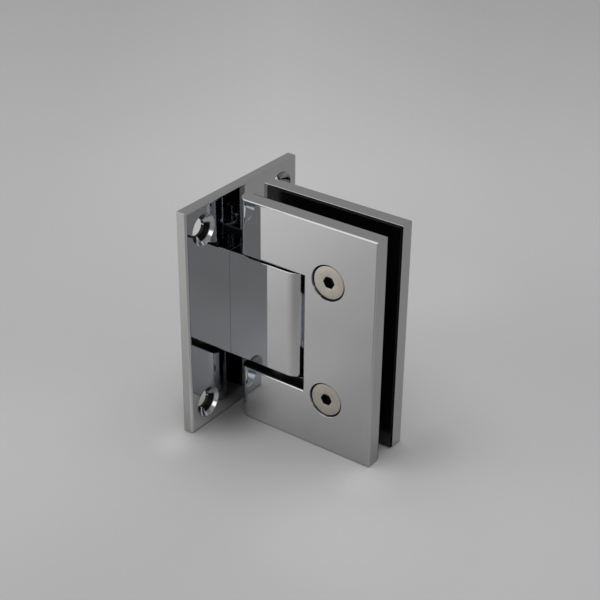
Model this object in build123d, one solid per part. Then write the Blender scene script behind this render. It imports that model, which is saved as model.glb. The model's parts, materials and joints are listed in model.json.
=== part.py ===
"""Self-closing wall hinge for a frameless glass door, built piece by piece in millimetres.

The origin is the centre of the wall plate's back face. +X points out of the wall towards the door,
+Y runs through the thickness of the glass, and +Z points up along the pivot pin. The door is drawn
closed. The wall side is the plate, the body and what the body holds: bushes, washers, and a sprung
block that presses on flats of the pin. The door side is the two clamp plates, and the pin, which is
locked in the rear plate's knuckles and so turns with the door.
"""

import math
import os

from build123d import *

# Wall plate
hinge_height = 90.0
wall_plate_width = 64.0
wall_plate_thickness = 4.0
wall_hole_inset = 9.5
wall_hole_radius = 3.25
wall_countersink_radius = 6.0
wall_edge_round = 1.0

# Hinge body, a solid block on the wall plate
body_length = 32.5
body_thickness = 17.4
body_height = 43.2
nose_round = 6.8
body_edge_chamfer = 0.4
pin_to_nose = 13.5

# Clamp: two plates that grip the door glass
wall_gap = 5.5
clamp_width = 58.5
clamp_plate_thickness = 5.8
clamp_edge_round = 0.7
clamp_corner_round = 4.0
glass_thickness = 8.0
gasket_thickness = 0.9
notch_end_clearance = 1.75
notch_nose_clearance = 2.0
gasket_inset = 0.4
gasket_left_inset = 2.0

# Casting behind the notch: arms, web and screw bosses that stand on the rear plate
arm_height = 8.9
knuckle_radius = 6.5
knuckle_recess_clearance = 0.2
web_setback = 1.5
web_width = 9.0
boss_radius = 7.5
boss_to_arm_edge = 0.25
gasket_casting_gap = 0.6

# Clamp screws, M6 countersunk
clamp_screw_from_notch = 10.0
clamp_screw_radius = 3.0
clamp_screw_head_radius = 6.2
clamp_screw_length = 16.0
clamp_screw_sink = 0.55
clamp_screw_ring = 0.6
clamp_screw_socket = 4.0
clamp_hole_depth_spare = 1.0

# Body screws, M5 countersunk, from behind the wall plate
body_screw_end_inset = 7.0
body_screw_radius = 2.5
body_screw_head_radius = 4.8
body_screw_to_bush = 2.7
body_screw_sink = 0.3
body_screw_socket = 3.0
body_hole_depth_spare = 0.8

# Screws in general
head_rim = 0.5
thread_clearance = 0.03
head_clearance = 0.1
shank_clearance = 0.3
socket_depth_share = 0.55

# Pivot pin, its bushes and its thrust washers
pin_radius = 4.0
pin_end_recess = 1.0
pin_end_chamfer = 0.6
pin_flat_depth = 0.65
pin_flat_spare = 0.4
pin_hole_clearance = 0.03
running_clearance = 0.05
bush_wall = 2.0
bush_length = 10.0
bush_seat_clearance = 0.02
pin_way_clearance = 0.3
washer_thickness = 0.9
washer_play = 0.05
washer_bore_clearance = 0.1

# Set screws that lock the pin in the knuckles, M4
set_screw_radius = 2.0
set_screw_socket = 2.0
set_screw_sink = 0.2
set_flat_depth = 0.7
set_flat_height = 4.6

# Detent: a block pressed on the pin's flats by two springs
block_height = 16.8
block_thickness = 10.0
block_length = 7.5
block_guide_clearance = 0.1
block_pin_clearance = 0.05
block_chamfer = 0.5
spring_spacing = 8.0
spring_radius = 3.1
spring_wire_width = 1.2
spring_wire_height = 0.9
spring_turns = 5
spring_sides = 12
spring_hole_radius = 3.5
spring_hole_depth = 4.5
spring_end_clearance = 0.02

# Places worked out from the sizes above
top = hinge_height / 2
wall_face = wall_plate_thickness
nose = wall_face + body_length
pin_x = nose - pin_to_nose
body_top = body_height / 2
body_screw_z = body_top - body_screw_end_inset
body_screw_end = pin_x - pin_radius - bush_wall - body_screw_to_bush
clamp_left = wall_face + wall_gap
clamp_right = clamp_left + clamp_width
notch_right = nose + notch_nose_clearance
notch_top = body_top + notch_end_clearance
plate_inner = glass_thickness / 2 + gasket_thickness
plate_outer = plate_inner + clamp_plate_thickness
arm_bottom = body_top + washer_thickness + 2 * washer_play
arm_top = arm_bottom + arm_height
pin_end = arm_top - pin_end_recess
clamp_screw_x = notch_right + clamp_screw_from_notch
clamp_screw_z = arm_top - boss_radius - boss_to_arm_edge
web_left = notch_right + web_setback
flat_distance = pin_radius - pin_flat_depth
block_front = pin_x - pin_radius - block_pin_clearance
block_back = block_front - block_length
spring_seat = block_back + spring_hole_depth
OVERRUN = 1.0


def span(x, y, z):
    """A box from three pairs of coordinates: its low and high X, Y and Z."""
    size = [high - low for low, high in (x, y, z)]
    centre = [(high + low) / 2 for low, high in (x, y, z)]
    return Pos(*centre) * Box(*size)


def along_x(radius, x, y, z):
    """A cylinder along X between the two values of x."""
    return Pos((x[0] + x[1]) / 2, y, z) * Rot(0, 90, 0) * Cylinder(radius, abs(x[1] - x[0]))


def along_y(radius, x, y, z):
    """A cylinder along Y between the two values of y."""
    return Pos(x, (y[0] + y[1]) / 2, z) * Rot(90, 0, 0) * Cylinder(radius, abs(y[1] - y[0]))


def along_z(radius, x, y, z):
    """A cylinder along Z between the two values of z."""
    return Pos(x, y, (z[0] + z[1]) / 2) * Cylinder(radius, abs(z[1] - z[0]))


def facing(x, y, z, direction):
    """The place of a screw whose head looks along direction, with its top at the point x, y, z."""
    return Plane(origin=(x, y, z), z_dir=direction).location


def turned(points):
    """A solid of revolution about Z from points of radius and height."""
    return revolve(make_face(Polyline([(r, 0, z) for r, z in points], close=True)), Axis.Z)


def hexagon(across_flats, depth):
    """A hexagonal socket cut down from the plane of the head."""
    profile = RegularPolygon(across_flats / 2, 6, major_radius=False)
    return extrude(profile, amount=-depth) + extrude(profile, amount=OVERRUN)


def countersink(hole_radius, mouth_radius, mouth_depth, plate_thickness):
    """The hole for a countersunk screw: a straight mouth, a 90 degree cone and a through hole."""
    cone_end = mouth_depth + mouth_radius - hole_radius
    through = plate_thickness + OVERRUN
    return turned(
        [
            (0, OVERRUN),
            (mouth_radius, OVERRUN),
            (mouth_radius, -mouth_depth),
            (hole_radius, -cone_end),
            (hole_radius, -through),
            (0, -through),
        ]
    )


def countersunk_screw(radius, head_radius, length, socket):
    """A countersunk socket screw that hangs down from the plane of its head."""
    cone = head_rim + head_radius - radius
    screw = turned(
        [
            (0, 0),
            (head_radius, 0),
            (head_radius, -head_rim),
            (radius, -cone),
            (radius, -length),
            (0, -length),
        ]
    )
    return screw - hexagon(socket, socket * socket_depth_share)


def wall_plate():
    """The plate that is screwed to the wall, with four countersunk holes and two for the body."""
    half_width = wall_plate_width / 2
    plate = span((0, wall_face), (-half_width, half_width), (-top, top))
    plate = fillet(plate.faces().sort_by(Axis.X)[-1].edges(), wall_edge_round)
    hole_y = half_width - wall_hole_inset
    hole_z = top - wall_hole_inset
    wall_hole = countersink(wall_hole_radius, wall_countersink_radius, 0, wall_plate_thickness)
    for y in (-hole_y, hole_y):
        for z in (-hole_z, hole_z):
            plate -= facing(wall_face, y, z, (1, 0, 0)) * wall_hole
    body_hole = countersink(
        body_screw_radius + shank_clearance,
        body_screw_head_radius + head_clearance,
        body_screw_sink + head_rim,
        wall_plate_thickness,
    )
    for z in (-body_screw_z, body_screw_z):
        plate -= facing(0, 0, z, (-1, 0, 0)) * body_hole
    return plate


def hinge_body():
    """The block on the wall plate: bored for the pin, with a pocket for the detent behind it."""
    half = body_thickness / 2
    body = span((wall_face, nose), (-half, half), (-body_top, body_top))
    body = fillet(body.edges().filter_by(Axis.Z).group_by(Axis.X)[-1], nose_round)
    ends = body.faces().sort_by(Axis.Z)
    rims = ShapeList(ends[0].edges() + ends[-1].edges())
    body = chamfer(rims.filter_by(lambda e: e.center().X > wall_face + OVERRUN), body_edge_chamfer)
    through = body_top + OVERRUN
    body -= along_z(pin_radius + pin_way_clearance, pin_x, 0, (-through, through))
    for side in (-1, 1):
        mouth = side * (body_top + OVERRUN)
        seat = side * (body_top - bush_length)
        body -= along_z(pin_radius + bush_wall, pin_x, 0, (seat, mouth))
        z = side * body_screw_z
        depth = body_screw_end + body_hole_depth_spare
        body -= along_x(body_screw_radius + thread_clearance, (wall_face - OVERRUN, depth), 0, z)
    side_room = block_thickness / 2 + block_guide_clearance
    end_room = block_height / 2 + block_guide_clearance
    pocket_end = pin_x - flat_distance + block_pin_clearance
    body -= span((wall_face - OVERRUN, pocket_end), (-side_room, side_room), (-end_room, end_room))
    return body


def body_screw(side):
    """One of the two screws that hold the body on the wall plate from behind."""
    length = body_screw_end - body_screw_sink
    screw = countersunk_screw(
        body_screw_radius, body_screw_head_radius, length, body_screw_socket
    )
    return facing(body_screw_sink, 0, side * body_screw_z, (-1, 0, 0)) * screw


def pivot_pin():
    """The round pin, with four flats for the detent and one at each end for its set screw."""
    pin = along_z(pin_radius, pin_x, 0, (-pin_end, pin_end))
    pin = chamfer(pin.edges(), pin_end_chamfer)
    half = block_height / 2 + pin_flat_spare
    square = span(
        (pin_x - flat_distance, pin_x + flat_distance),
        (-flat_distance, flat_distance),
        (-half, half),
    )
    barrel = along_z(pin_radius + OVERRUN, pin_x, 0, (-half, half))
    pin -= barrel - square
    middle = (arm_bottom + arm_top) / 2
    for side in (-1, 1):
        low = side * middle - set_flat_height / 2
        pin -= span(
            (pin_x - pin_radius, pin_x + pin_radius),
            (-pin_radius - OVERRUN, -pin_radius + set_flat_depth),
            (low, low + set_flat_height),
        )
    return pin


def ring(outer, inner, low, high):
    """A plain ring round the pin's axis."""
    tube = along_z(outer, pin_x, 0, (low, high))
    return tube - along_z(inner, pin_x, 0, (low - OVERRUN, high + OVERRUN))


def pin_bush(side):
    """A bush in the end of the body's bore, flush with the body's end."""
    low, high = sorted((side * body_top, side * (body_top - bush_length)))
    outer = pin_radius + bush_wall - bush_seat_clearance
    return ring(outer, pin_radius + running_clearance, low, high)


def thrust_washer(side):
    """The washer that carries the knuckle on the end of the body."""
    low, high = sorted((side * (body_top + washer_play), side * (arm_bottom - washer_play)))
    return ring(knuckle_radius, pin_radius + washer_bore_clearance, low, high)


def detent_block():
    """The sprung block. It is drawn pushed back, clear of the pin's corners."""
    half = block_thickness / 2
    block = span(
        (block_back, block_front), (-half, half), (-block_height / 2, block_height / 2)
    )
    block = chamfer(block.faces().sort_by(Axis.X)[-1].edges(), block_chamfer)
    for z in (-spring_spacing / 2, spring_spacing / 2):
        block -= along_x(spring_hole_radius, (block_back - OVERRUN, spring_seat), 0, z)
    return block


def flat_face(*corners):
    """A flat face with straight sides between the corners given."""
    return Face(Wire.make_polygon(corners))


def wire_skin(first, second):
    """The eight triangles round a length of square wire, from one cross-section to the next."""
    skin = []
    for here, there in ((0, 1), (1, 2), (2, 3), (3, 0)):
        skin.append(flat_face(first[here], first[there], second[there]))
        skin.append(flat_face(first[here], second[there], second[here]))
    return skin


def detent_spring(side):
    """A flat-wire spring with ground ends, from the wall plate to the block's blind hole.

    Its coil is a chain of straight lengths, spring_sides to a turn.
    """
    start = wall_face + spring_end_clearance
    length = spring_seat - spring_end_clearance - start
    step = (length + spring_wire_height) / (spring_turns * spring_sides)
    inner = spring_radius - spring_wire_width
    sections = []
    for number in range(spring_turns * spring_sides + 1):
        angle = 2 * math.pi * number / spring_sides
        out = Vector(math.cos(angle), math.sin(angle), 0)
        high = Vector(0, 0, step * number)
        low = high - Vector(0, 0, spring_wire_height)
        inside, outside = inner * out, spring_radius * out
        sections.append((low + inside, low + outside, high + outside, high + inside))
    skin = [flat_face(*sections[0]), flat_face(*sections[-1])]
    for first, second in zip(sections, sections[1:]):
        skin += wire_skin(first, second)
    coil = Solid(Shell(skin))
    coil &= Pos(0, 0, length / 2) * Box(3 * spring_radius, 3 * spring_radius, length)
    z = side * spring_spacing / 2
    return Plane(origin=(start, 0, z), z_dir=(1, 0, 0)).location * coil


def corner_edge(plate, side):
    """The upright edge of a clamp plate that is outermost on the wall side."""
    upright = plate.edges().filter_by(Axis.Z).group_by(Axis.X)[0]
    return upright.sort_by(Axis((0, 0, 0), (0, side, 0)))[-1]


def notched_plate(side):
    """A clamp plate with a notch for the body, open on the wall side.

    Its outer edges are rounded over, and its outer corner on the wall side is a large round.
    """
    y = sorted((side * plate_inner, side * plate_outer))
    plate = span((clamp_left, clamp_right), y, (-top, top))
    outline = fillet(corner_edge(plate, side), clamp_corner_round)
    plate -= span((clamp_left - OVERRUN, notch_right), y, (-notch_top, notch_top))
    outside = plate.faces().sort_by(Axis((0, 0, 0), (0, side, 0)))[-1]
    rims = outside.edges().filter_by(lambda e: e.center().X > clamp_left + OVERRUN)
    return fillet(rims, clamp_edge_round) & outline


def rear_plate():
    """The main clamp plate. Its casting carries the knuckles, the web and the screw bosses."""
    plate = notched_plate(1)
    y = (-plate_inner, plate_inner + OVERRUN)
    casting = span((web_left, web_left + web_width), y, (-arm_bottom, arm_bottom))
    middle = (arm_bottom + arm_top) / 2
    for side in (-1, 1):
        z = sorted((side * arm_bottom, side * arm_top))
        casting += span((pin_x, clamp_screw_x), y, z)
        casting += along_y(boss_radius, clamp_screw_x, y, side * clamp_screw_z)
        casting += along_z(knuckle_radius, pin_x, 0, z)
    plate += casting
    hole_end = clamp_screw_length + clamp_screw_sink + clamp_hole_depth_spare - plate_outer
    for side in (-1, 1):
        z = sorted((side * (arm_bottom - OVERRUN), side * (arm_top + OVERRUN)))
        plate -= along_z(pin_radius + pin_hole_clearance, pin_x, 0, z)
        tapped = clamp_screw_radius + thread_clearance
        plate -= along_y(tapped, clamp_screw_x, (-plate_outer, hole_end), side * clamp_screw_z)
        tapped = set_screw_radius + thread_clearance
        plate -= along_y(tapped, pin_x, (-plate_outer, 0), side * middle)
    return plate


def front_plate():
    """The outer clamp plate, held on by the two clamp screws, with room for the knuckles."""
    plate = notched_plate(-1)
    hole = countersink(
        clamp_screw_radius + shank_clearance,
        clamp_screw_head_radius + clamp_screw_ring,
        clamp_screw_sink + head_rim + head_clearance - clamp_screw_ring,
        clamp_plate_thickness,
    )
    for side in (-1, 1):
        plate -= facing(clamp_screw_x, -plate_outer, side * clamp_screw_z, (0, -1, 0)) * hole
        z = sorted((side * (notch_top - OVERRUN), side * (arm_top + knuckle_recess_clearance)))
        plate -= along_z(knuckle_radius + knuckle_recess_clearance, pin_x, 0, z)
    return plate


def clamp_screw(side):
    """One of the two screws that pull the clamp plates together."""
    screw = countersunk_screw(
        clamp_screw_radius, clamp_screw_head_radius, clamp_screw_length, clamp_screw_socket
    )
    y = clamp_screw_sink - plate_outer
    return facing(clamp_screw_x, y, side * clamp_screw_z, (0, -1, 0)) * screw


def gasket(side):
    """A rubber pad on the inner face of a clamp plate, cut out round the casting."""
    y = sorted((side * glass_thickness / 2, side * plate_inner))
    pad = span(
        (clamp_left + gasket_left_inset, clamp_right - gasket_inset),
        y,
        (gasket_inset - top, top - gasket_inset),
    )
    room = arm_top + gasket_casting_gap
    edge = clamp_screw_x + boss_radius + gasket_casting_gap
    cut = span((clamp_left - OVERRUN, edge), y, (-room, room))
    corners = cut.edges().filter_by(Axis.Y).group_by(Axis.X)[-1]
    return pad - fillet(corners, boss_radius)


def pin_set_screw(side):
    """A headless screw in a knuckle, which bears on a flat at the end of the pin."""
    start = set_screw_sink - knuckle_radius
    length = set_flat_depth - pin_radius - start
    screw = Pos(0, 0, -length / 2) * Cylinder(set_screw_radius, length)
    screw -= hexagon(set_screw_socket, length * socket_depth_share)
    middle = (arm_bottom + arm_top) / 2
    return facing(pin_x, start, side * middle, (0, -1, 0)) * screw


def main():
    """Write every piece of the hinge to its own file."""
    os.makedirs("parts", exist_ok=True)
    pieces = {
        "wall_plate": wall_plate(),
        "hinge_body": hinge_body(),
        "pivot_pin": pivot_pin(),
        "detent_block": detent_block(),
        "rear_plate": rear_plate(),
        "front_plate": front_plate(),
        "rear_gasket": gasket(1),
        "front_gasket": gasket(-1),
    }
    for name, side in (("upper", 1), ("lower", -1)):
        pieces[f"body_screw_{name}"] = body_screw(side)
        pieces[f"pin_bush_{name}"] = pin_bush(side)
        pieces[f"thrust_washer_{name}"] = thrust_washer(side)
        pieces[f"detent_spring_{name}"] = detent_spring(side)
        pieces[f"clamp_screw_{name}"] = clamp_screw(side)
        pieces[f"pin_set_screw_{name}"] = pin_set_screw(side)
    for name, piece in pieces.items():
        export_step(piece, f"parts/{name}.step")
        print(name, round(piece.volume, 1))


main()
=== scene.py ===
# %% [markdown]
# # A chrome hinge for a glass door
#
# This hinge carries a frameless glass door. Its wall side is a flat plate with a block on it, and
# its door side is two clamp plates that grip the glass and turn about a pin in the block. The
# solids are exact already, so this lesson adds what they lack: softened edges, threads, smooth
# coils, and the finish of each metal, of the nylon and of the rubber.
#
# Everything is in metres, in the frame of the solids: the back of the wall plate is at x = 0, the
# door is towards +X, the front of the door is towards -Y, and +Z is up along the pin.

import json
import math

import bmesh
import bpy
import numpy as np
from mathutils import Matrix, Vector

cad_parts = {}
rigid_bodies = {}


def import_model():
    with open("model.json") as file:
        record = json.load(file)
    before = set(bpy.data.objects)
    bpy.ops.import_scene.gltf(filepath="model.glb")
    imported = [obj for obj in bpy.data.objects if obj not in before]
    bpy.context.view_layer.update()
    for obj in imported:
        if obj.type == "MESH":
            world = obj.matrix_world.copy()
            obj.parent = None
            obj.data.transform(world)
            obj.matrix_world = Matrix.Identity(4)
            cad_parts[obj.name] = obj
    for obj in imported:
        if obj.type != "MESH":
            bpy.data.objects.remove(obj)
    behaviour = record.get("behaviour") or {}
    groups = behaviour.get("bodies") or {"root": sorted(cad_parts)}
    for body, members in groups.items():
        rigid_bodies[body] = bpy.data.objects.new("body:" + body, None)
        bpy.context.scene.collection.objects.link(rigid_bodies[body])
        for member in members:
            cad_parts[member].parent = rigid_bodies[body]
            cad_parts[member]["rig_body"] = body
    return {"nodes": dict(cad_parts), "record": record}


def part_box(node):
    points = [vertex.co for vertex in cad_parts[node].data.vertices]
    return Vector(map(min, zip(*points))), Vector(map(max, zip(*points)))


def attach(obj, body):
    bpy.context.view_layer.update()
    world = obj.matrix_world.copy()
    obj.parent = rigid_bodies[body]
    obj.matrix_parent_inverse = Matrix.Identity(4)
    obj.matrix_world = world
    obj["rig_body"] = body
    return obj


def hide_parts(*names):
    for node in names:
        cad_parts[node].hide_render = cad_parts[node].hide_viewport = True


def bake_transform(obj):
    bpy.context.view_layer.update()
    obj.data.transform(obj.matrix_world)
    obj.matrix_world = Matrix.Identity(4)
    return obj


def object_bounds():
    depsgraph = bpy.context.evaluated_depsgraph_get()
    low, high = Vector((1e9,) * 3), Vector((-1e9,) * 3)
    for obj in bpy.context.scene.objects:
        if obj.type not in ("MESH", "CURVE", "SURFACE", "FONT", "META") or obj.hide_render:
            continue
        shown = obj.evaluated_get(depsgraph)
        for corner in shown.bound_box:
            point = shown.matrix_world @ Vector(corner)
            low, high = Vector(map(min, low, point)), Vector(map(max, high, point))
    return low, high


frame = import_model()
solid_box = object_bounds()
solids = frame["nodes"]
slot_of = {row["node"]: row["material_slot"] for row in frame["record"]["subparts"]}
MM = 0.001
print(len(solids), "solids in a box of", [round(side / MM, 1) for side in solid_box[1] - solid_box[0]], "mm")

# %% [markdown]
# ## Camera
#
# A long lens from well above the hinge, a little to its right. A camera could aim itself at an
# empty with a constraint, but a constraint hides the numbers. Here the two angles and the
# roll give its three axes directly, and those are the columns of its matrix.

# %% Camera
AZIMUTH, ELEVATION, ROLL = 35.607, 29.196, 0.654
CAMERA_PLACE = (0.27718, -0.34619, 0.24400)
LENS, SENSOR = 81.466, 36.0


def camera_axes(azimuth, elevation, roll):
    """The camera's right, up and backward axes, from three angles in degrees.

    Backward points from the hinge to the camera: (sin a cos e, -cos a cos e, sin e). Right is level,
    up is their cross product, and the roll turns right and up about backward.
    """
    a, e, r = np.radians((azimuth, elevation, roll))
    backward = np.array((np.sin(a) * np.cos(e), -np.cos(a) * np.cos(e), np.sin(e)))
    level = np.array((np.cos(a), np.sin(a), 0.0))
    upright = np.cross(backward, level)
    right = np.cos(r) * level + np.sin(r) * upright
    up = np.cos(r) * upright - np.sin(r) * level
    return right, up, backward


camera = bpy.data.objects.new("camera", bpy.data.cameras.new("camera"))
bpy.context.scene.collection.objects.link(camera)
bpy.context.scene.camera = camera
camera.data.lens, camera.data.sensor_width = LENS, SENSOR
camera.data.clip_start, camera.data.clip_end = 0.01, 20.0
camera_turn = Matrix(np.column_stack(camera_axes(AZIMUTH, ELEVATION, ROLL)).tolist())
camera.matrix_world = Matrix.Translation(CAMERA_PLACE) @ camera_turn.to_4x4()
print("camera", round(camera.location.length, 3), "m from the wall plate, lens", LENS, "mm")

# %% [markdown]
# ## Shader nodes in one line each
#
# A node tree can be drawn by hand or loaded from a file. Code that adds a node, sets it and wires
# its inputs in one line keeps each material short enough to read. The first cell adds any node, and
# the next two have the few kinds that the finishes use again and again.


# %% Add a node and fill its inputs
def fill(made, inputs):
    """Sets each named input of a node to a value, or links a socket to it."""
    for key, value in inputs.items():
        if isinstance(value, bpy.types.NodeSocket):
            made.id_data.links.new(value, made.inputs[key])
        else:
            made.inputs[key].default_value = value


def node(tree, kind, inputs=None, **settings):
    """Adds a shader node, applies its settings, and fills its inputs."""
    made = tree.nodes.new("ShaderNode" + kind)
    for name, value in settings.items():
        setattr(made, name, value)
    fill(made, inputs or {})
    return made


print("node and fill ready")


# %% Points and colours as nodes
def vector(tree, operation, *values):
    """A Vector Math node's vector, for one or two vectors."""
    return node(tree, "VectorMath", dict(enumerate(values)), operation=operation).outputs["Vector"]


def measure(tree, operation, *values):
    """A Vector Math node's number: a length, a distance or a dot product."""
    return node(tree, "VectorMath", dict(enumerate(values)), operation=operation).outputs["Value"]


def scaled(tree, colour, factor):
    """A colour times a factor."""
    return node(tree, "VectorMath", {0: colour, "Scale": factor}, operation="SCALE").outputs["Vector"]


def split(tree, point):
    """The three parts of a point, by the names X, Y and Z."""
    return node(tree, "SeparateXYZ", {0: point}).outputs


def object_point(tree):
    """The point that is being shaded, in the coordinates of the hinge."""
    return node(tree, "TexCoord").outputs["Object"]


print("helpers for points and colours ready")


# %% Sums, ranges, noise and mixes as nodes
def calc(tree, operation, *values):
    """A Math node's output for one, two or three values or sockets."""
    return node(tree, "Math", dict(enumerate(values)), operation=operation).outputs[0]


def remap(tree, value, low, high, to_low=0.0, to_high=1.0, curve="LINEAR"):
    """Maps low..high onto to_low..to_high, clamped."""
    inputs = {"Value": value, "From Min": low, "From Max": high, "To Min": to_low, "To Max": to_high}
    return node(tree, "MapRange", inputs, interpolation_type=curve).outputs[0]


def noise(tree, point, scale, detail=2.0, roughness=0.5):
    """A Noise Texture's factor, with scale in waves per metre."""
    inputs = {"Vector": point, "Scale": scale, "Detail": detail, "Roughness": roughness}
    return node(tree, "TexNoise", inputs).outputs["Fac"]


def blend_colours(tree, factor, first, second):
    """A mix of two colours, each an RGB triple or a socket."""
    four = [c if isinstance(c, bpy.types.NodeSocket) else (*c, 1.0) for c in (first, second)]
    return node(tree, "Mix", {0: factor, 6: four[0], 7: four[1]}, data_type="RGBA").outputs[2]


print("all shader helpers ready")

# %% [markdown]
# ## Marks that several finishes share
#
# - **Handling** leaves faint patches where a bright surface is a little less sharp.
# - **Polishing** leaves long shallow waves, which bend a reflection slightly, and hairlines.
# - **Turning** on a lathe leaves fine rings round the axis. The hinge is the same above and below its
#   middle, so the height is folded there, and one centre serves both pieces of a pair.
# - **Grain** is the fine tooth of a moulded, blasted or blackened surface.
#
# Each one could be drawn anew in every material that shows it. A node group that gives out only
# masks and heights is built once, and each material places it with values of its own.


# %% Groups in general
def new_group(name, inputs, outputs):
    """A shader node group with float or vector sockets, and its tree, input and output nodes."""
    tree = bpy.data.node_groups.new(name, "ShaderNodeTree")
    for label, kind, value in inputs:
        socket = tree.interface.new_socket(label, in_out="INPUT", socket_type="NodeSocket" + kind)
        socket.default_value = value
    for label in outputs:
        tree.interface.new_socket(label, in_out="OUTPUT", socket_type="NodeSocketFloat")
    return tree, tree.nodes.new("NodeGroupInput").outputs, tree.nodes.new("NodeGroupOutput").inputs


def use_group(tree, group, **values):
    """Places a group in a material with its own values, and returns its outputs."""
    return node(tree, "Group", values, node_tree=group).outputs


print("groups can be made and used")

# %% Handling and polishing
PATCH_EDGE = (0.48, 0.72)
HAIRLINES_PER_METRE = 9000.0
DRAWN_OUT = (1.0, 1.0, 0.04)

handling, given, out = new_group("handling", [("Scale", "Float", 90.0)], ["Patch"])
wide = noise(handling, object_point(handling), given["Scale"], detail=4.0, roughness=0.6)
handling.links.new(remap(handling, wide, *PATCH_EDGE), out["Patch"])

polishing, given, out = new_group(
    "polishing", [("Wave", "Float", 55.0), ("Hairlines", "Float", 0.03)], ["Height"]
)
place = object_point(polishing)
wave = noise(polishing, place, given["Wave"], detail=1.0)
long_place = node(polishing, "Mapping", {"Vector": place, "Scale": DRAWN_OUT}).outputs[0]
hair = noise(polishing, long_place, HAIRLINES_PER_METRE, roughness=0.7)
polishing.links.new(calc(polishing, "MULTIPLY_ADD", hair, given["Hairlines"], wave), out["Height"])
print("marks of handling and polishing ready")

# %% Turning
UNEVENNESS_PER_METRE = 700.0

turning, given, out = new_group(
    "turning",
    [("Centre", "Vector", (0, 0, 0)), ("Across", "Vector", (1, 0, 1)), ("Pitch", "Float", 0.3 * MM)],
    ["Height"],
)
place = object_point(turning)
parts = split(turning, place)
height = calc(turning, "ABSOLUTE", parts["Z"])
folded = node(turning, "CombineXYZ", {"X": parts["X"], "Y": parts["Y"], "Z": height}).outputs[0]
arm = vector(turning, "SUBTRACT", folded, given["Centre"])
radius = measure(turning, "LENGTH", vector(turning, "MULTIPLY", arm, given["Across"]))
turns = calc(turning, "DIVIDE", radius, given["Pitch"])
uneven = calc(turning, "ADD", turns, noise(turning, place, UNEVENNESS_PER_METRE))
ring = calc(turning, "SINE", calc(turning, "MULTIPLY", uneven, 2 * math.pi))
turning.links.new(ring, out["Height"])
print("rings of the lathe ready")

# %% Grain
TONES_PER_METRE = 250.0

grain, given, out = new_group("grain", [("Scale", "Float", 6000.0)], ["Height", "Tone"])
place = object_point(grain)
fine = noise(grain, place, given["Scale"], detail=3.0, roughness=0.6)
grain.links.new(fine, out["Height"])
grain.links.new(noise(grain, place, TONES_PER_METRE, detail=3.0), out["Tone"])
print("groups:", ", ".join(group.name for group in bpy.data.node_groups))

# %% [markdown]
# ## Chrome
#
# A metal is a Principled shader with Metallic at 1, whose base colour is how much light it returns.
# Chrome returns about 60 percent, a trace more in the blue, which shows where one chrome face
# reflects another. A flat colour would do for a sketch but looks like plastic, so this finish has
# faint patches from handling, and waves of a hundredth of a millimetre bend its reflections.


# %% Chrome
def new_finish(name, colour, roughness, metallic=1.0):
    """A material with one Principled shader. Returns the material, its tree and the shader."""
    finish = bpy.data.materials.new(name)
    finish.use_nodes = True
    finish.node_tree.nodes.clear()
    inputs = {"Base Color": (*colour, 1.0), "Roughness": roughness, "Metallic": metallic}
    shader = node(finish.node_tree, "BsdfPrincipled", inputs)
    node(finish.node_tree, "OutputMaterial", {"Surface": shader.outputs[0]})
    return finish, finish.node_tree, shader


def bump(tree, height, depth):
    """The normal of a surface whose height runs from about 0 to 1, depth metres high."""
    return node(tree, "Bump", {"Height": height, "Distance": depth}).outputs[0]


CHROME = (0.574, 0.598, 0.632)
HANDLED_CHROME = tuple(0.975 * c for c in CHROME)
CLEAN_ROUGHNESS, HANDLED_ROUGHNESS = 0.02, 0.05
finishes = {}
finishes["chrome_plate"], tree, shader = new_finish("chrome_plate", CHROME, 0.03)
patch = use_group(tree, handling, Scale=70.0)["Patch"]
polished = use_group(tree, polishing, Wave=45.0, Hairlines=0.004)["Height"]
fill(
    shader,
    {
        "Roughness": remap(tree, patch, 0.0, 1.0, CLEAN_ROUGHNESS, HANDLED_ROUGHNESS),
        "Base Color": blend_colours(tree, patch, CHROME, HANDLED_CHROME),
        "Normal": bump(tree, polished, 0.01 * MM),
    },
)
print("chrome:", len(tree.nodes), "nodes")

# %% [markdown]
# ## Turned metals
#
# The screw heads, the pin, the springs and the brass block come off a lathe or a grinder, which
# leaves rings, or on the block straight lines. An anisotropic shader would stretch the
# highlight without showing a mark. Rings in the height show both the marks and the stretched light.


# %% Turned steel, nickel and brass
TOOTH = (0.3, 0.7)
DULLED = 0.86


def folded_middle(name):
    """The middle of a solid's box, with its height folded to above the hinge's middle."""
    low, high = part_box(name)
    middle = (low + high) / 2
    return middle.x, middle.y, abs(middle.z)


def turned_finish(name, colour, roughness, centre, across, pitch):
    """A metal with fine rings round centre, in the plane of the axes that are 1 in across."""
    finish, tree, shader = new_finish(name, colour, roughness)
    marks = use_group(tree, turning, Centre=centre, Across=across, Pitch=pitch * MM)
    tooth = use_group(tree, grain, Scale=9000.0)
    dull = tuple(DULLED * c for c in colour)
    inputs = {
        "Base Color": blend_colours(tree, tooth["Tone"], colour, dull),
        "Roughness": remap(tree, tooth["Height"], *TOOTH, roughness - 0.05, roughness + 0.06),
        "Normal": bump(tree, marks["Height"], 0.002 * MM),
    }
    fill(shader, inputs)
    return finish


# Each row is colour, roughness, middle of the rings, directions across them, and pitch in mm.
head_middle = folded_middle("clamp_screw_upper")
TURNED = {
    "satin_screw": ((0.612, 0.588, 0.545), 0.30, head_middle, (1, 0, 1), 0.25),
    "screw_steel": ((0.55, 0.55, 0.55), 0.28, folded_middle("body_screw_upper"), (0, 1, 1), 0.25),
    "pin_steel": ((0.62, 0.62, 0.63), 0.16, folded_middle("pivot_pin"), (1, 1, 0), 0.4),
    "spring_steel": ((0.42, 0.42, 0.43), 0.32, (0, 0, 0), (0, 1, 1), 0.25),
    "brass_block": ((0.76, 0.58, 0.30), 0.27, (0, 0, 0), (0, 0, 1), 0.6),
}
for name, values in TURNED.items():
    finishes[name] = turned_finish(name, *values)
print("turned metals:", ", ".join(TURNED))

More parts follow.
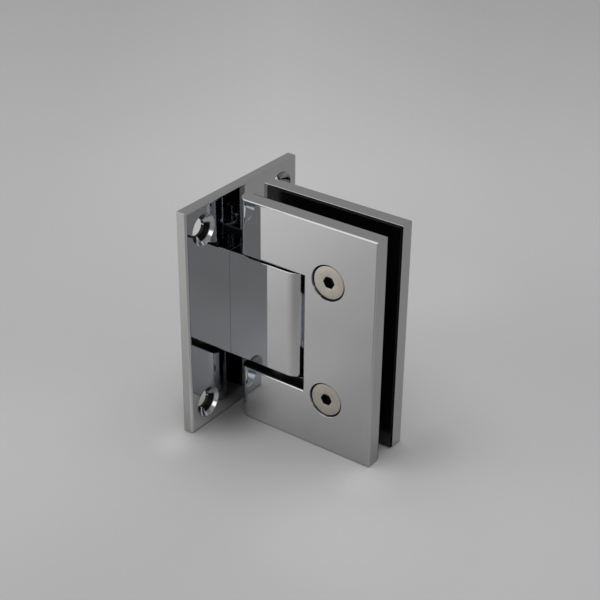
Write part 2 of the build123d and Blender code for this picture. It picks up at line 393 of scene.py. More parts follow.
# %% [markdown]
# ## Grained surfaces
#
# Blackened steel, bare metal in a recess, dull plating, a ground edge, moulded nylon and rubber have no
# direction in them. The near-black of the bare metal and the darkness of the dull plating are partly painted
# shade, for the hollows and narrow gaps where they sit. An image would bring its own light with it and
# repeat, so each has an even grain in its height and roughness and a slow change between two tones. The flat
# faces of the rubber come from a smooth mould and shine at a low angle. The rest of it is dull.


# %% Grained finishes
def grained_finish(name, colour, second, roughness, metallic, scale, depth):
    """A surface with an even grain and a slow change between two colours."""
    finish, tree, shader = new_finish(name, colour, roughness, metallic)
    marks = use_group(tree, grain, Scale=scale)
    inputs = {
        "Base Color": blend_colours(tree, marks["Tone"], colour, second),
        "Roughness": remap(tree, marks["Height"], *TOOTH, roughness - 0.06, roughness + 0.06),
        "Normal": bump(tree, marks["Height"], depth * MM),
    }
    fill(shader, inputs)
    return finish


# Each row is two colours, roughness, metallic, grains per metre, and a grain's height in mm.
# Near-black for bare metal in hollows and gaps, darker than bare steel because painted shade is added to it.
BARE_AND_SHADED_BLACK = (0.012, 0.012, 0.013)
BLACK, DUSTED_BLACK = (0.002, 0.002, 0.002), (0.004, 0.004, 0.004)
GRAINED = {
    "black_steel": ((0.045, 0.045, 0.05), (0.08, 0.075, 0.07), 0.42, 1.0, 7000.0, 0.004),
    "white_nylon": ((0.80, 0.79, 0.74), (0.74, 0.73, 0.68), 0.45, 0.0, 5000.0, 0.006),
    "black_rubber": (BLACK, DUSTED_BLACK, 0.85, 0.0, 4000.0, 0.02),
    "rubber_face": (BLACK, DUSTED_BLACK, 0.16, 0.0, 4000.0, 0.002),
    "unplated_recess": (BARE_AND_SHADED_BLACK, (0.03, 0.029, 0.027), 0.45, 1.0, 5000.0, 0.006),
    # Dark chrome for the block's top and bottom: less polished, and darkened by painted shade in the notch's
    # gap.
    "dull_chrome": ((0.10, 0.105, 0.12), (0.07, 0.074, 0.085), 0.16, 1.0, 3000.0, 0.001),
    "ground_edge": ((0.438, 0.45, 0.466), (0.412, 0.424, 0.439), 0.24, 1.0, 3000.0, 0.001),
}
EXTRAS = (
    ("white_nylon", "Subsurface Weight", 0.05),
    ("black_rubber", "Specular IOR Level", 0.08),
    ("rubber_face", "Specular IOR Level", 1.0),
)
for name, values in GRAINED.items():
    finishes[name] = grained_finish(name, *values)
for name, label, value in EXTRAS:
    finishes[name].node_tree.nodes["Principled BSDF"].inputs[label].default_value = value
for name, solid in solids.items():
    solid.material_slots[0].material = finishes[slot_of[name]]
print("grained:", ", ".join(GRAINED), "and solids with a finish:", len(solids))

# %% [markdown]
# ## Softened edges
#
# The chrome parts are cast, ground flat and polished, and polishing takes the sharpness off every
# edge. A mirror shows this at once, because a rounded edge gathers light from half the room.
# A bump at the edges would leave the outline sharp, so the edges are really rounded. The
# solid's mesh is left as it is. A copy is welded, its flat triangles are joined into whole
# faces, and a Bevel rounds each edge that is still sharp. The pin, the bushes, the washers, the
# block and the rubber get the same treatment with a smaller width.


# %% A piece that takes a solid's place
def stand_in(piece, source, rides=True):
    """Links a finished piece that replaces a solid, with its finish and, if it rides, on its body."""
    bpy.context.scene.collection.objects.link(piece)
    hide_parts(source)
    if rides:
        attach(piece, solids[source]["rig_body"])
    return piece


def mark_sharp(work, limit):
    """Shades every face smooth, and marks the edges that turn by limit degrees or more as sharp."""
    for face in work.faces:
        face.smooth = True
    for edge in work.edges:
        edge.smooth = edge.calc_face_angle(0.0) < math.radians(limit)


print("a piece can stand in for a solid")

# %% Round the edges of a copy
WELD, FLAT, SHARP, ROUNDED = 1e-6, math.radians(0.2), 25, math.radians(30)


def softened_copy(source, width):
    """Welds a copy of a solid's mesh, merges its flat faces, and rounds its sharp edges by width."""
    name = source + "_finished"
    mesh = solids[source].data.copy()
    mesh.name = name
    work = bmesh.new()
    work.from_mesh(mesh)
    bmesh.ops.remove_doubles(work, verts=work.verts, dist=WELD)
    bmesh.ops.dissolve_limit(work, angle_limit=FLAT, verts=work.verts, edges=work.edges)
    mark_sharp(work, SHARP)
    work.to_mesh(mesh)
    work.free()
    piece = bpy.data.objects.new(name, mesh)
    rounding = piece.modifiers.new("softened_edges", "BEVEL")
    rounding.width, rounding.segments = width, 3
    rounding.limit_method, rounding.angle_limit = "ANGLE", ROUNDED
    shading = piece.modifiers.new("flat_faces_stay_flat", "WEIGHTED_NORMAL")
    shading.weight, shading.keep_sharp = 100, True
    mesh.materials.clear()
    mesh.materials.append(finishes[slot_of[source]])
    return stand_in(piece, source)


CASTINGS = ("wall_plate", "hinge_body", "rear_plate", "front_plate")
SMALL_PARTS = ("pivot_pin", "pin_bush", "thrust_washer", "detent_block")
castings = {name: softened_copy(name, 0.25 * MM) for name in CASTINGS}
small_parts = [softened_copy(name, 0.06 * MM) for name in solids if name.startswith(SMALL_PARTS)]
pads = [softened_copy(name, 0.1 * MM) for name in ("front_gasket", "rear_gasket")]
print("softened:", len(castings) + len(small_parts) + len(pads), "pieces")

# %% [markdown]
# ## Where the plating ends, with painted shade in the hollows
#
# Chrome is laid on by an electric current, which hardly reaches into a hole or a narrow gap. The recesses
# round the screw heads, the bores of the wall plate, the deep lower part of its countersinks and the ends of
# the notch in the clamp plates are given a near-black colour. It is partly bare metal and partly painted
# shade, because these hollows and gaps lie in shadow. These places could be painted on a mask, but they
# follow from the shape. So whole faces are chosen by where they lie and which way they look, and where the
# edge of the dark colour crosses a face, the material itself works out how far a point is from the hole or
# from the hinge's middle.


# %% Choose faces and give them a finish
def face_middles(mesh):
    """The middle and the normal of every face, as two arrays of three columns."""
    middles = np.empty(len(mesh.polygons) * 3)
    normals = np.empty(len(mesh.polygons) * 3)
    mesh.polygons.foreach_get("center", middles)
    mesh.polygons.foreach_get("normal", normals)
    return middles.reshape(-1, 3), normals.reshape(-1, 3)


def give_finish(piece, chosen, finish):
    """Gives the chosen faces of a piece one more finish, and returns how many there are."""
    mesh = piece.data
    mesh.materials.append(finish)
    slots = np.zeros(len(mesh.polygons), dtype=np.int32)
    mesh.polygons.foreach_get("material_index", slots)
    slots[chosen] = len(mesh.materials) - 1
    mesh.polygons.foreach_set("material_index", slots)
    return int(chosen.sum())


SQUARE, MOSTLY, HARDLY = 0.99, 0.9, 0.1
print("a face is square to an axis when its normal has more than", SQUARE, "of it")

# %% Two finishes where chrome gives way to bare metal and painted shade
# Where the near-black of bare metal and painted shade gives way to chrome: in a countersink by radius,
# outwards and upwards, and in the notch by height.
SHADE_EDGES_IN_CONE = {"radius": (4.7 * MM, 5.0 * MM), "out": (0.2 * MM, 0.8 * MM), "up": (0.6 * MM, 1.4 * MM)}
NOTCH_SHADE_BEGINS = (10.5 * MM, 11.5 * MM)


def countersink_finish(centre):
    """Chrome that gives way to near-black in the deep part of a countersink, low down and towards the block:
    bare metal and painted shade in the hollow.

    centre is one of four holes, and folding the width and the height makes it serve all of them.
    """
    finish, tree, shader = new_finish("countersink_chrome_and_shade", CHROME, 0.05)
    point = object_point(tree)
    arm = vector(tree, "SUBTRACT", vector(tree, "ABSOLUTE", point), centre)
    arm = vector(tree, "MULTIPLY", arm, (0, 1, 1))
    above = calc(tree, "SIGN", split(tree, point)["Z"])
    reach = {"radius": measure(tree, "LENGTH", arm), "out": split(tree, arm)["Y"]}
    reach["up"] = calc(tree, "MULTIPLY", split(tree, arm)["Z"], above)
    chrome_share = 0.0
    for way, (shaded_up_to, chrome_from) in SHADE_EDGES_IN_CONE.items():
        chrome_share = calc(tree, "MAXIMUM", chrome_share, remap(tree, reach[way], shaded_up_to, chrome_from))
    # The dark share is painted shade inside the hole, on top of the missing plating.
    colour, roughness = blend_colours(tree, chrome_share, BARE_AND_SHADED_BLACK, CHROME), remap(tree, chrome_share, 0.0, 1.0, 0.45, 0.05)
    fill(shader, {"Base Color": colour, "Roughness": roughness})
    return finish


notch_wall, tree, shader = new_finish("notch_wall_chrome_and_shade", CHROME, 0.05)
from_middle = calc(tree, "ABSOLUTE", split(tree, object_point(tree))["Z"])
# Away from the middle the notch's wall turns near-black: painted shade in the closed part of the gap.
shaded = remap(tree, from_middle, *NOTCH_SHADE_BEGINS)
fill(shader, {"Base Color": blend_colours(tree, shaded, CHROME, BARE_AND_SHADED_BLACK)})
print("the notch's wall is bare from", round(NOTCH_SHADE_BEGINS[1] / MM, 1), "mm above and below the middle")

# %% Bare metal and painted shade in recesses, bores and countersinks
RECESS_SPARE, BORE_SPARE, CONE_SPARE = 0.35 * MM, 0.02 * MM, 0.1 * MM
HOLE_INSET, BORE_RADIUS, CONE_RADIUS = 9.5 * MM, 3.25 * MM, 6.0 * MM

# This near-black finish is bare metal, darkened further by painted shade in the hollows.
bare_and_shaded_metal = finishes["unplated_recess"]
head_low, head_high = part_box("clamp_screw_upper")
head_radius = (head_high.x - head_low.x) / 2
middles, normals = face_middles(castings["front_plate"].data)
from_screw = np.hypot(middles[:, 0] - head_middle[0], np.abs(middles[:, 2]) - head_middle[2])
inside = (from_screw < head_radius + RECESS_SPARE) & (np.abs(normals[:, 1]) < MOSTLY)
dark_recess = give_finish(castings["front_plate"], inside, bare_and_shaded_metal)

wall_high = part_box("wall_plate")[1]
hole = (0.0, wall_high.y - HOLE_INSET, wall_high.z - HOLE_INSET)
middles, normals = face_middles(castings["wall_plate"].data)
outwards = np.abs(normals[:, 0])
from_hole = np.hypot(np.abs(middles[:, 1]) - hole[1], np.abs(middles[:, 2]) - hole[2])
bore = (from_hole < BORE_RADIUS + BORE_SPARE) & (outwards < HARDLY)
dark_bore = give_finish(castings["wall_plate"], bore, bare_and_shaded_metal)
cone = (from_hole < CONE_RADIUS + CONE_SPARE) & (outwards > HARDLY) & (outwards < SQUARE)
shaded_cone = give_finish(castings["wall_plate"], cone, countersink_finish(hole))
print("faces round the screws:", dark_recess, "and in the holes:", dark_bore, "and", shaded_cone)

# %% [markdown]
# ## The notch in the clamp plates
#
# The notch lets the clamp plates swing past the block. Its two ends are near-black, and its upright side is
# chrome only in the middle, where the gap is open to the front and the back. Elsewhere the gap is closed and
# lies in shade, so the near-black there is bare metal and painted shade. The walls could be pieces of their
# own, but then the rounded edge between a wall and the plate would be cut in two.

# %% The notch's ends and side
END_CLEARANCE, NOSE_CLEARANCE, NOTCH_SPARE = 1.75 * MM, 2.0 * MM, 0.1 * MM

body_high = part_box("hinge_body")[1]
notch_top, notch_side = body_high.z + END_CLEARANCE, body_high.x + NOSE_CLEARANCE
dark_notch = 0
for name in ("front_plate", "rear_plate"):
    middles, normals = face_middles(castings[name].data)
    beside = np.abs(middles[:, 2]) < notch_top + NOTCH_SPARE
    ends = (np.abs(normals[:, 2]) > MOSTLY) & beside
    at_side = np.abs(middles[:, 0] - notch_side) < NOTCH_SPARE
    side = (np.abs(normals[:, 0]) > MOSTLY) & beside & at_side
    dark_notch += give_finish(castings[name], ends, bare_and_shaded_metal)
    dark_notch += give_finish(castings[name], side, notch_wall)
print("faces in the notch:", dark_notch)

# %% [markdown]
# ## Dull, shaded and ground faces
#
# The two upright edges of the wall plate are only ground, so they return a softer and dimmer light than the
# polished faces. The block's top and bottom face the notch and are hardly polished, and their dark colour is
# painted shade from the narrow gap above and below the block. The rubber pads are smooth where they meet the
# glass. Whole faces change here, so choosing them by the way they look is enough.

# %% Edges of the plate, ends of the block, faces of the pads
SECOND_FINISHES = [
    (castings["wall_plate"], 1, SQUARE, "ground_edge"),
    (castings["hinge_body"], 2, SQUARE, "dull_chrome"),
    *((pad, 1, MOSTLY, "rubber_face") for pad in pads),
]
for piece, axis, least, finish in SECOND_FINISHES:
    chosen = np.abs(face_middles(piece.data)[1][:, axis]) > least
    print(piece.name, "has", give_finish(piece, chosen, finishes[finish]), "faces of", finish)

# %% [markdown]
# ## Rounded lips on the countersinks
#
# The mouths of the four holes are broken more than the other edges, so that a screw finds its way
# in, and each one shows as a bright ring. A Bevel by angle can't tell them from the other
# edges. Here the edges on two rings get a weight, and a Bevel of their own, which goes by weight,
# comes first. The general one then finds them smooth already.


# %% Lips
RING_SPARE, OFF_THE_BACK = 0.03 * MM, 0.1 * MM
RINGS = ((CONE_RADIUS, 1.0), (BORE_RADIUS, 0.6))


def round_rings(piece, centre, rings, width):
    """Adds a Bevel of its own for the rings of edges that lie at the given radii round four holes.

    The holes mirror centre in y and z. An edge is on a ring when both its ends are within
    RING_SPARE of the ring's radius, and off the plate's back. rings pairs each radius with a weight.
    """
    mesh = piece.data
    points = np.empty(len(mesh.vertices) * 3)
    mesh.vertices.foreach_get("co", points)
    points = points.reshape(-1, 3)
    ends = np.empty(len(mesh.edges) * 2, dtype=np.int32)
    mesh.edges.foreach_get("vertices", ends)
    ends = ends.reshape(-1, 2)
    radius = np.hypot(np.abs(points[:, 1]) - centre[1], np.abs(points[:, 2]) - centre[2])
    weights = np.zeros(len(ends), dtype=np.float32)
    for ring_radius, weight in rings:
        on_ring = (np.abs(radius - ring_radius) < RING_SPARE) & (points[:, 0] > OFF_THE_BACK)
        weights[on_ring[ends].all(axis=1)] = weight
    mesh.attributes.new("bevel_weight_edge", "FLOAT", "EDGE").data.foreach_set("value", weights)
    lips = piece.modifiers.new("countersink_lips", "BEVEL")
    lips.width, lips.segments, lips.limit_method = width, 4, "WEIGHT"
    piece.modifiers.move(len(piece.modifiers) - 1, 0)
    return int((weights > 0).sum())


lips = round_rings(castings["wall_plate"], hole, RINGS, 0.6 * MM)
print("edges in the rounded lips:", lips)

# %% [markdown]
# ## Screws
#
# A clamp screw is countersunk, with a hexagonal socket and an M6 thread. It could be a library
# screw, or a helix swept round a cylinder. Here it is one grid, a profile carried round the screw's
# axis, so the head, the socket and the thread are one closed surface. The first cell makes a mesh
# from any grid, and the second works out the turned and the threaded lengths.

# %% Meshes from grids of points
MERGE, GRID_SHARP = 1e-7, 28


def grid_mesh(name, points, tube=False):
    """Joins a grid of points, rows by columns by 3, into four-sided faces.

    A tube joins its last column to its first and gets a face at each open end. Points that fall
    together, as at a pole, are merged, and the faces are turned outwards.
    """
    rows, columns = points.shape[:2]
    row = np.arange(rows - 1)[:, None]
    column = np.arange(columns if tube else columns - 1)[None, :]
    next_row, next_column = row + 1, (column + 1) % columns
    corners = [(row, column), (row, next_column), (next_row, next_column), (next_row, column)]
    faces = np.stack([r * columns + c for r, c in corners], axis=-1).reshape(-1, 4)
    mesh = bpy.data.meshes.new(name)
    mesh.from_pydata(points.reshape(-1, 3).tolist(), [], faces.tolist())
    work = bmesh.new()
    work.from_mesh(mesh)
    bmesh.ops.remove_doubles(work, verts=work.verts, dist=MERGE)
    if tube:
        bmesh.ops.holes_fill(work, edges=[edge for edge in work.edges if edge.is_boundary])
    bmesh.ops.recalc_face_normals(work, faces=work.faces)
    mark_sharp(work, GRID_SHARP)
    work.to_mesh(mesh)
    work.free()
    return mesh


print("a grid of points can be a mesh")

# %% Turned and threaded lengths
ROWS_PER_TURN, THREAD_DEPTH = 8, 0.61


def turned_surface(radii, depths, hexagons, angles):
    """Points of a surface carried round an axis, as radius across, radius up and depth.

    A row is a circle where hexagons is 0 and a hexagon where it is 1. A hexagon's radius is the
    distance to its flats over the cosine of the angle from the nearest flat's middle.
    """
    from_flat = (angles % (math.pi / 3)) - math.pi / 6
    flats = 1.0 / np.cos(from_flat)
    reach = radii * ((1 - hexagons)[:, None] + hexagons[:, None] * flats[None, :])
    deep = np.broadcast_to(depths[:, None], reach.shape)
    return np.stack([reach * np.cos(angles), reach * np.sin(angles), deep], axis=-1)


def threaded_rows(outer, pitch, start, end, angles):
    """Radii and depths of a threaded length.

    The radius is the root plus the thread's depth times a triangle wave of depth over pitch less
    angle over a full turn. The wave fades in and out over one pitch at each end.
    """
    depths = np.arange(start, end, pitch / ROWS_PER_TURN)
    wave = np.abs(2 * ((depths[:, None] / pitch - angles[None, :] / (2 * math.pi)) % 1.0) - 1)
    fade = np.clip(np.minimum(depths - start, end - depths) / pitch, 0.0, 1.0)[:, None]
    return outer - THREAD_DEPTH * pitch * (1 - wave * fade), depths


print("turned and threaded surfaces ready")

# %% [markdown]
# ## The profile of a screw
#
# From the middle of its socket out over the head, down the shank and in again at the tip, a
# screw's outline is one line. A line that is simply spun can't be a hexagon at one end and a
# thread at the other. So each row of the grid has a radius, a depth and a share that says how
# hexagonal it is, and the thread's rows change their radius on the way round.

# %% The surface of a screw
AROUND = 96
LIP, EDGE, HEAD_RIM, NECK = 0.12 * MM, 0.15 * MM, 0.4 * MM, 0.45 * MM
SOCKET_DEPTH, TIP_SHARE = 0.55, 0.80


def screw_surface(head, radius, pitch, length, socket):
    """Points of a closed screw with its head's plane at depth 0, in rows from socket to tip.

    head is the head's radius, or None for a headless screw. socket is the distance across its flats.
    """
    angles = np.linspace(0, 2 * math.pi, AROUND, endpoint=False)
    flat, deep = socket / 2, socket * SOCKET_DEPTH
    rim = radius if head is None else head
    rows = [
        (0.0, deep * 1.12, 1),  # the point that the drill leaves
        (flat * 0.985, deep, 1),  # the foot of the socket
        (flat, deep - LIP, 1),
        (flat, LIP * 2, 1),  # its mouth, which opens from a hexagon into a circle
        (flat * 1.06, LIP / 3, 0.85),
        (flat * 1.16, 0.0, 0),
        (rim - EDGE * 1.6, 0.0, 0),  # the top's rounded edge
        (rim - EDGE * 0.5, EDGE * 0.3, 0),
        (rim, EDGE * 1.2, 0),
    ]
    shank = EDGE * 2
    if head is not None:
        shank = NECK + head - radius
        rows += [(rim, HEAD_RIM, 0), (radius, shank, 0)]  # the rim and the cone under the head
    radii, depths, hexagons = np.array(rows).T
    thread_radii, thread_depths = threaded_rows(
        radius, pitch, shank + pitch / 2, length - EDGE * 2, angles
    )
    ends = np.array([[radius * TIP_SHARE, length], [0.0, length]])
    radii = np.concatenate([np.tile(radii[:, None], AROUND), thread_radii, np.tile(ends[:, :1], AROUND)])
    depths = np.concatenate([depths, thread_depths, ends[:, 1]])
    hexagons = np.concatenate([hexagons, np.zeros(len(thread_depths) + 2)])
    return turned_surface(radii, depths, hexagons, angles)


print("a screw is", AROUND, "points round")

# %% Put a screw in its place
X, Y = 0, 1
SOCKET_REACH, SOCKET_STARTS = 0.6, 0.1 * MM


def set_down(points, way, origin):
    """Sets (across, up, depth) down at origin, with depth along +X or +Y."""
    across, up, depth = np.moveaxis(points, -1, 0)
    order = (depth, across, up) if way == X else (across, depth, up)
    return np.stack(order, axis=-1) + np.array(origin)


def replace_screw(source, way, radius, pitch, socket):
    """A threaded screw in the box of a solid, with depth along X or Y.

    radius is the thread's, or None for a headless screw, which is as wide as its box all along.
    The socket of a countersunk screw is painted near-black, as shade inside the socket.
    """
    low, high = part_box(source)
    origin = (low + high) / 2
    origin[way] = low[way]
    widest = (high.z - low.z) / 2
    sizes = (None, widest) if radius is None else (widest, radius)
    points = screw_surface(*sizes, pitch, high[way] - low[way], socket)
    name = source + "_finished"
    mesh = grid_mesh(name, set_down(points, way, origin), tube=True)
    mesh.materials.append(finishes[slot_of[source]])
    piece = stand_in(bpy.data.objects.new(name, mesh), source)
    from_origin = face_middles(mesh)[0] - np.array(origin)
    away, depth = np.delete(from_origin, way, axis=1), from_origin[:, way]
    in_socket = (np.hypot(*away.T) < socket * SOCKET_REACH) & (depth > SOCKET_STARTS) & (depth < socket)
    # The near-black in the socket is painted shade.
    if radius is not None:
        give_finish(piece, in_socket, bare_and_shaded_metal)
    return piece


print("a screw can replace a solid")

# %% Build the six screws
# Each row is the way of the depth, the thread's radius, its pitch and the socket, in metres.
SCREWS = {
    "clamp_screw": (Y, 3.0 * MM, 1.0 * MM, 4.0 * MM),
    "body_screw": (X, 2.5 * MM, 0.8 * MM, 3.0 * MM),
    "pin_set_screw": (Y, None, 0.7 * MM, 2.0 * MM),
}
screws = [
    replace_screw(f"{kind}_{side}", *values) for side in ("upper", "lower") for kind, values in SCREWS.items()
]
print("screws:", {piece.name: len(piece.data.polygons) for piece in screws})

# %% [markdown]
# ## Springs
#
# The two detent springs are coiled from flat wire, and their ends are ground square so that they stand
# upright. A curve with a bevel would give the coil but not the ground ends. Here the wire's section is
# carried along a helix, and whatever passes an end plane is pressed back to it. One end stands on the wall
# side and the other on the sprung block. Each spring is left on neither body, so it keeps its length when the
# block slides.

# %% Flat-wire springs
TURNS, STEPS_PER_TURN, SECTION_POINTS = 5.0, 60, 20
WIRE_WIDTH, WIRE_HEIGHT = 1.2 * MM, 0.9 * MM
SQUARENESS, GROUND_OFF = 0.35, 0.4


def rounded_box_wave(wave, size):
    """A cosine or sine with its size raised to the power SQUARENESS, times half the box's side."""
    return np.sign(wave) * np.abs(wave) ** SQUARENESS * size / 2


def replace_spring(source):
    """A coil of flat wire along +X in the box of a solid.

    The middle of the wire goes round by 2 pi times TURNS while it moves along evenly. Its section is
    a rounded rectangle. The depth is clipped to the two end planes, past which GROUND_OFF of the
    wire's height would stand.
    """
    low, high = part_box(source)
    length, middle = high.x - low.x, (low + high) / 2
    share = np.linspace(0, 1, int(TURNS * STEPS_PER_TURN))[:, None]
    section = np.linspace(0, 2 * math.pi, SECTION_POINTS, endpoint=False)[None, :]
    wide = rounded_box_wave(np.cos(section), WIRE_WIDTH)
    tall = rounded_box_wave(np.sin(section), WIRE_HEIGHT)
    spare = WIRE_HEIGHT * GROUND_OFF
    depth = np.clip(-spare + (length + 2 * spare) * share + tall, 0.0, length)
    angle = 2 * math.pi * TURNS * share
    reach = (high.z - low.z) / 2 - WIRE_WIDTH / 2 + wide
    points = np.stack([depth, reach * np.cos(angle), reach * np.sin(angle)], axis=-1)
    name = source + "_finished"
    mesh = grid_mesh(name, points + np.array((low.x, middle.y, middle.z)), tube=True)
    mesh.materials.append(finishes[slot_of[source]])
    piece = stand_in(bpy.data.objects.new(name, mesh), source, rides=False)
    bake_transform(piece)
    return piece


springs = [replace_spring("detent_spring_" + side) for side in ("upper", "lower")]
print("springs:", {piece.name: len(piece.data.polygons) for piece in springs})

# %% [markdown]
# ## Floor
#
# The hinge stands on a pale grey sheet. Polished chrome has no colour of its own: it shows the bright front
# of the sheet, its dimmer right and what stands round it. A real studio gets this with cards and reflectors.
# They would also be seen and cast shadows, so here the sheet has two sets of tones with the light and shade
# painted in, one for rays from the camera or from rough surfaces and one for rays that leave a mirror. Both
# are laid out in metres on the floor, so they stay where they are in any view.


# %% Floor sheet
floor_level = solid_box[0].z


def floor_sheet(half_side, count):
    """A flat square grid of count by count points, at the level of the hinge's lowest edge."""
    line = np.linspace(-half_side, half_side, count)
    x, y = np.meshgrid(line, line)
    points = np.stack([x, y, np.full_like(x, floor_level)], axis=-1)
    sheet = bpy.data.objects.new("floor", grid_mesh("floor", points))
    bpy.context.scene.collection.objects.link(sheet)
    return sheet


floor = floor_sheet(4.0, 9)
floor_finish, floor_tree, floor_shader = new_finish("floor", (0.45, 0.45, 0.45), 0.6, 0.0)
floor_shader.inputs["Specular IOR Level"].default_value = 0.2
floor.data.materials.append(floor_finish)
floor_place = object_point(floor_tree)
print("floor at", round(floor_level / MM, 1), "mm")


# %% Soft round patches
def pool(x, y, reach, amount):
    """A round patch on the floor: amount at (x, y), falling smoothly to nothing at reach metres."""
    away = measure(floor_tree, "DISTANCE", floor_place, (x, y, floor_level))
    return remap(floor_tree, away, 0.0, reach, amount, 0.0, curve="SMOOTHSTEP")


def add_pools(level, pools):
    """Adds round patches to a level of brightness."""
    for values in pools:
        level = calc(floor_tree, "ADD", level, pool(*values))
    return level


print("patches can be added")

# %% [markdown]
# ## What the camera sees of the floor
#
# A sheet under a soft lamp isn't one even grey. It glows behind the hinge and gets darker far off, the chrome
# throws some light back on it, and the foot of the hinge keeps some away. Light that mirrors throw can be
# traced, but it stays noisy for a long time. Here a few broad changes and soft patches of painted light and
# painted shadow in the sheet's colour stand for all of it.

# %% Tones that the camera sees
# Each patch of painted light or painted shadow is x, y and reach in metres, and the share of brightness that
# it adds or takes away.
POOLS = (
    (0.005, -0.011, 0.025, -0.66),
    (0.110, -0.025, 0.14, 0.10),
    (0.075, -0.036, 0.05, 0.11),
    (-0.045, -0.095, 0.10, 0.10),
    (0.115, 0.110, 0.13, -0.05),
    (0.02, 0.115, 0.05, 0.05),
    (0.083, 0.022, 0.03, -0.05),
    (0.070, -0.016, 0.018, 0.15),
    (0.003, -0.040, 0.013, 0.16),
    (0.077, 0.011, 0.020, -0.14),
)
GREY, GLOWING_GREY, FAR_GREY = (0.440, 0.440, 0.442), (0.470, 0.470, 0.472), (0.380, 0.380, 0.382)
GLOW, FAR_OFF = (-0.02, 0.18, 0.30, 1.0), (0.22, 0.62)
FLOOR_TURN = (0.0, 0.0, math.radians(-35.6))
BEAM_MIDDLE, BEAM_REACH, BEAM_GAIN, BEAM_BEGINS = 0.012, 0.12, 0.11, (0.08, 0.20)

turned = node(floor_tree, "Mapping", {"Vector": floor_place, "Rotation": FLOOR_TURN}).outputs[0]
across, along = split(floor_tree, turned)["X"], split(floor_tree, turned)["Y"]
seen = blend_colours(floor_tree, pool(*GLOW), GREY, GLOWING_GREY)
seen = blend_colours(floor_tree, remap(floor_tree, along, *FAR_OFF), seen, FAR_GREY)
# A painted band of light on the floor behind the hinge, along the line of view.
aside = calc(floor_tree, "ABSOLUTE", calc(floor_tree, "SUBTRACT", across, BEAM_MIDDLE))
beam = remap(floor_tree, aside, 0.0, BEAM_REACH, BEAM_GAIN, 0.0)
beam = calc(floor_tree, "MULTIPLY", beam, remap(floor_tree, along, *BEAM_BEGINS))
seen = scaled(floor_tree, seen, add_pools(calc(floor_tree, "ADD", beam, 1.0), POOLS))
print("tones that the camera sees:", len(POOLS), "patches")

# %% [markdown]
# ## What the chrome sees of the floor
#
# In the upright faces of the hinge the sheet is bright on the left and falls to under half of that on the
# right, over 165 mm. It is even and dim behind, and darkest in the corner between the block and the wall
# plate, which lies in shade and where one chrome face mirrors the other. A colour ramp along X paints in the
# fall of the light, and patches of painted light and painted shade do the rest, with a painted shadow in that
# corner. The tones are a shade warmer than grey, which keeps the chrome from looking blue.

# %% Tones that a mirror sees
MIRRORED_TONES = (
    (0.0, 0.80), (0.27, 0.68), (0.47, 0.54), (0.65, 0.47), (0.74, 0.42), (0.83, 0.355), (1.0, 0.31)
)
# Patches of painted light and painted shade where the mirrored sheet meets the hinge's foot.
MIRRORED_POOLS = (
    (-0.012, -0.050, 0.04, 0.06),
    (-0.003, -0.030, 0.020, -0.15),
    (0.009, -0.018, 0.011, -0.30),
)
# A painted shadow in the corner between the block and the wall plate.
CORNER_SHADE_POOL = (0.006, -0.004, 0.024, -0.66)
RAMP_X, SIDE_X, SIDE_GAIN = (-0.1, 0.065), (-0.005, 0.02), 0.32
CLOSE_Y, BEHIND_Y = (-0.085, -0.035), (-0.02, 0.03)
BEHIND_GREY, WARMTH = (0.325, 0.325, 0.325), (1.04, 1.0, 0.945)

floor_parts = split(floor_tree, floor_place)
ramp = node(floor_tree, "ValToRGB", {"Fac": remap(floor_tree, floor_parts["X"], *RAMP_X)})
for stop, tone in MIRRORED_TONES:
    elements = ramp.color_ramp.elements
    mark = elements.new(stop) if 0.0 < stop < 1.0 else elements[-int(stop)]
    mark.color = (tone, tone, tone, 1.0)
close = remap(floor_tree, floor_parts["Y"], *CLOSE_Y)
side = remap(floor_tree, floor_parts["X"], *SIDE_X, 0.0, SIDE_GAIN)
near = add_pools(calc(floor_tree, "MULTIPLY_ADD", side, close, 1.0), MIRRORED_POOLS)
behind = remap(floor_tree, floor_parts["Y"], *BEHIND_Y)
mirrored = blend_colours(floor_tree, behind, scaled(floor_tree, ramp.outputs[0], near), BEHIND_GREY)
mirrored = scaled(floor_tree, mirrored, add_pools(1.0, (CORNER_SHADE_POOL,)))
mirrored = vector(floor_tree, "MULTIPLY", mirrored, WARMTH)
leaves_mirror = node(floor_tree, "LightPath").outputs["Is Glossy Ray"]
fill(floor_shader, {"Base Color": blend_colours(floor_tree, leaves_mirror, seen, mirrored)})
print("tones that a mirror sees:", len(MIRRORED_TONES), "stops and", len(MIRRORED_POOLS) + 1, "patches")

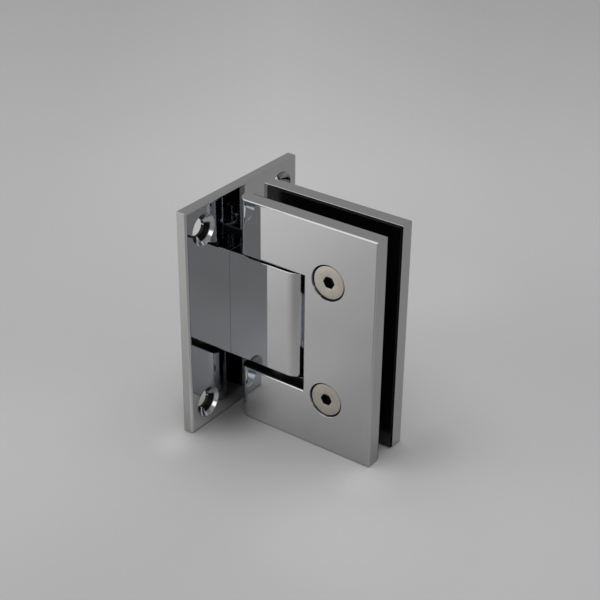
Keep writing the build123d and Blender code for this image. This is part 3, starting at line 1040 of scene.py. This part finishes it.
# %% [markdown]
# ## Light
#
# One wide soft lamp hangs over the hinge, with a fainter glow from all round, which fills the
# shadows. A mirror shows the room as well: a bright window on the left and a small lamp on the
# right, both worked out from the direction of the ray. An image of a real room would
# do this too, but here each tone is a number that can be changed. The overhead lamp itself
# isn't mirrored, because its hard outline would cross the chrome.

# %% World
CAMERA_GREY, GLOW_GREY, ROOM_TONE = (0.40, 0.40, 0.402), (0.45, 0.45, 0.45), (0.322, 0.31, 0.293)
# Each light is its direction, the dot products where it begins and is full, and its colour.
MIRRORED_LIGHTS = {
    "window": ((-0.55, -0.65, 0.52), 0.45, 0.90, (1.20, 1.17, 1.12)),
    "small lamp": ((0.86, -0.39, 0.33), 0.96, 0.99, (1.75, 1.70, 1.62)),
}

world = bpy.data.worlds.new("studio")
bpy.context.scene.world = world
world.use_nodes = True
tree = world.node_tree
tree.nodes.clear()
rays = node(tree, "LightPath").outputs
towards = node(tree, "TexCoord").outputs["Generated"]
reflected = ROOM_TONE
for direction, begins, full, colour in MIRRORED_LIGHTS.values():
    facing = measure(tree, "DOT_PRODUCT", towards, direction)
    reflected = blend_colours(tree, remap(tree, facing, begins, full), reflected, colour)
sky = blend_colours(tree, rays["Is Glossy Ray"], GLOW_GREY, reflected)
sky = blend_colours(tree, rays["Is Camera Ray"], sky, CAMERA_GREY)
background = node(tree, "Background", {"Color": sky, "Strength": 1.0})
node(tree, "OutputWorld", {"Surface": background.outputs[0]})
print("mirrored lights:", ", ".join(MIRRORED_LIGHTS))


# %% Overhead lamp
def soft_lamp(name, place, aim, side, power):
    """A square lamp at place that faces aim. Sizes are in metres and power in watts."""
    lamp = bpy.data.objects.new(name, bpy.data.lights.new(name, "AREA"))
    bpy.context.scene.collection.objects.link(lamp)
    lamp.data.shape = "SQUARE"
    lamp.data.size, lamp.data.energy = side, power
    lamp.location = place
    lamp.rotation_mode = "QUATERNION"
    lamp.rotation_quaternion = (Vector(aim) - Vector(place)).to_track_quat("-Z", "Y")
    return lamp


overhead = soft_lamp("overhead", (-0.15, 0.0, 1.15), (-0.15, 0.0, 0.0), 1.3, 10.5)
overhead.visible_glossy = False
bpy.context.scene.view_settings.view_transform = "Standard"
print("lamps:", [lamp.name for lamp in bpy.data.lights])
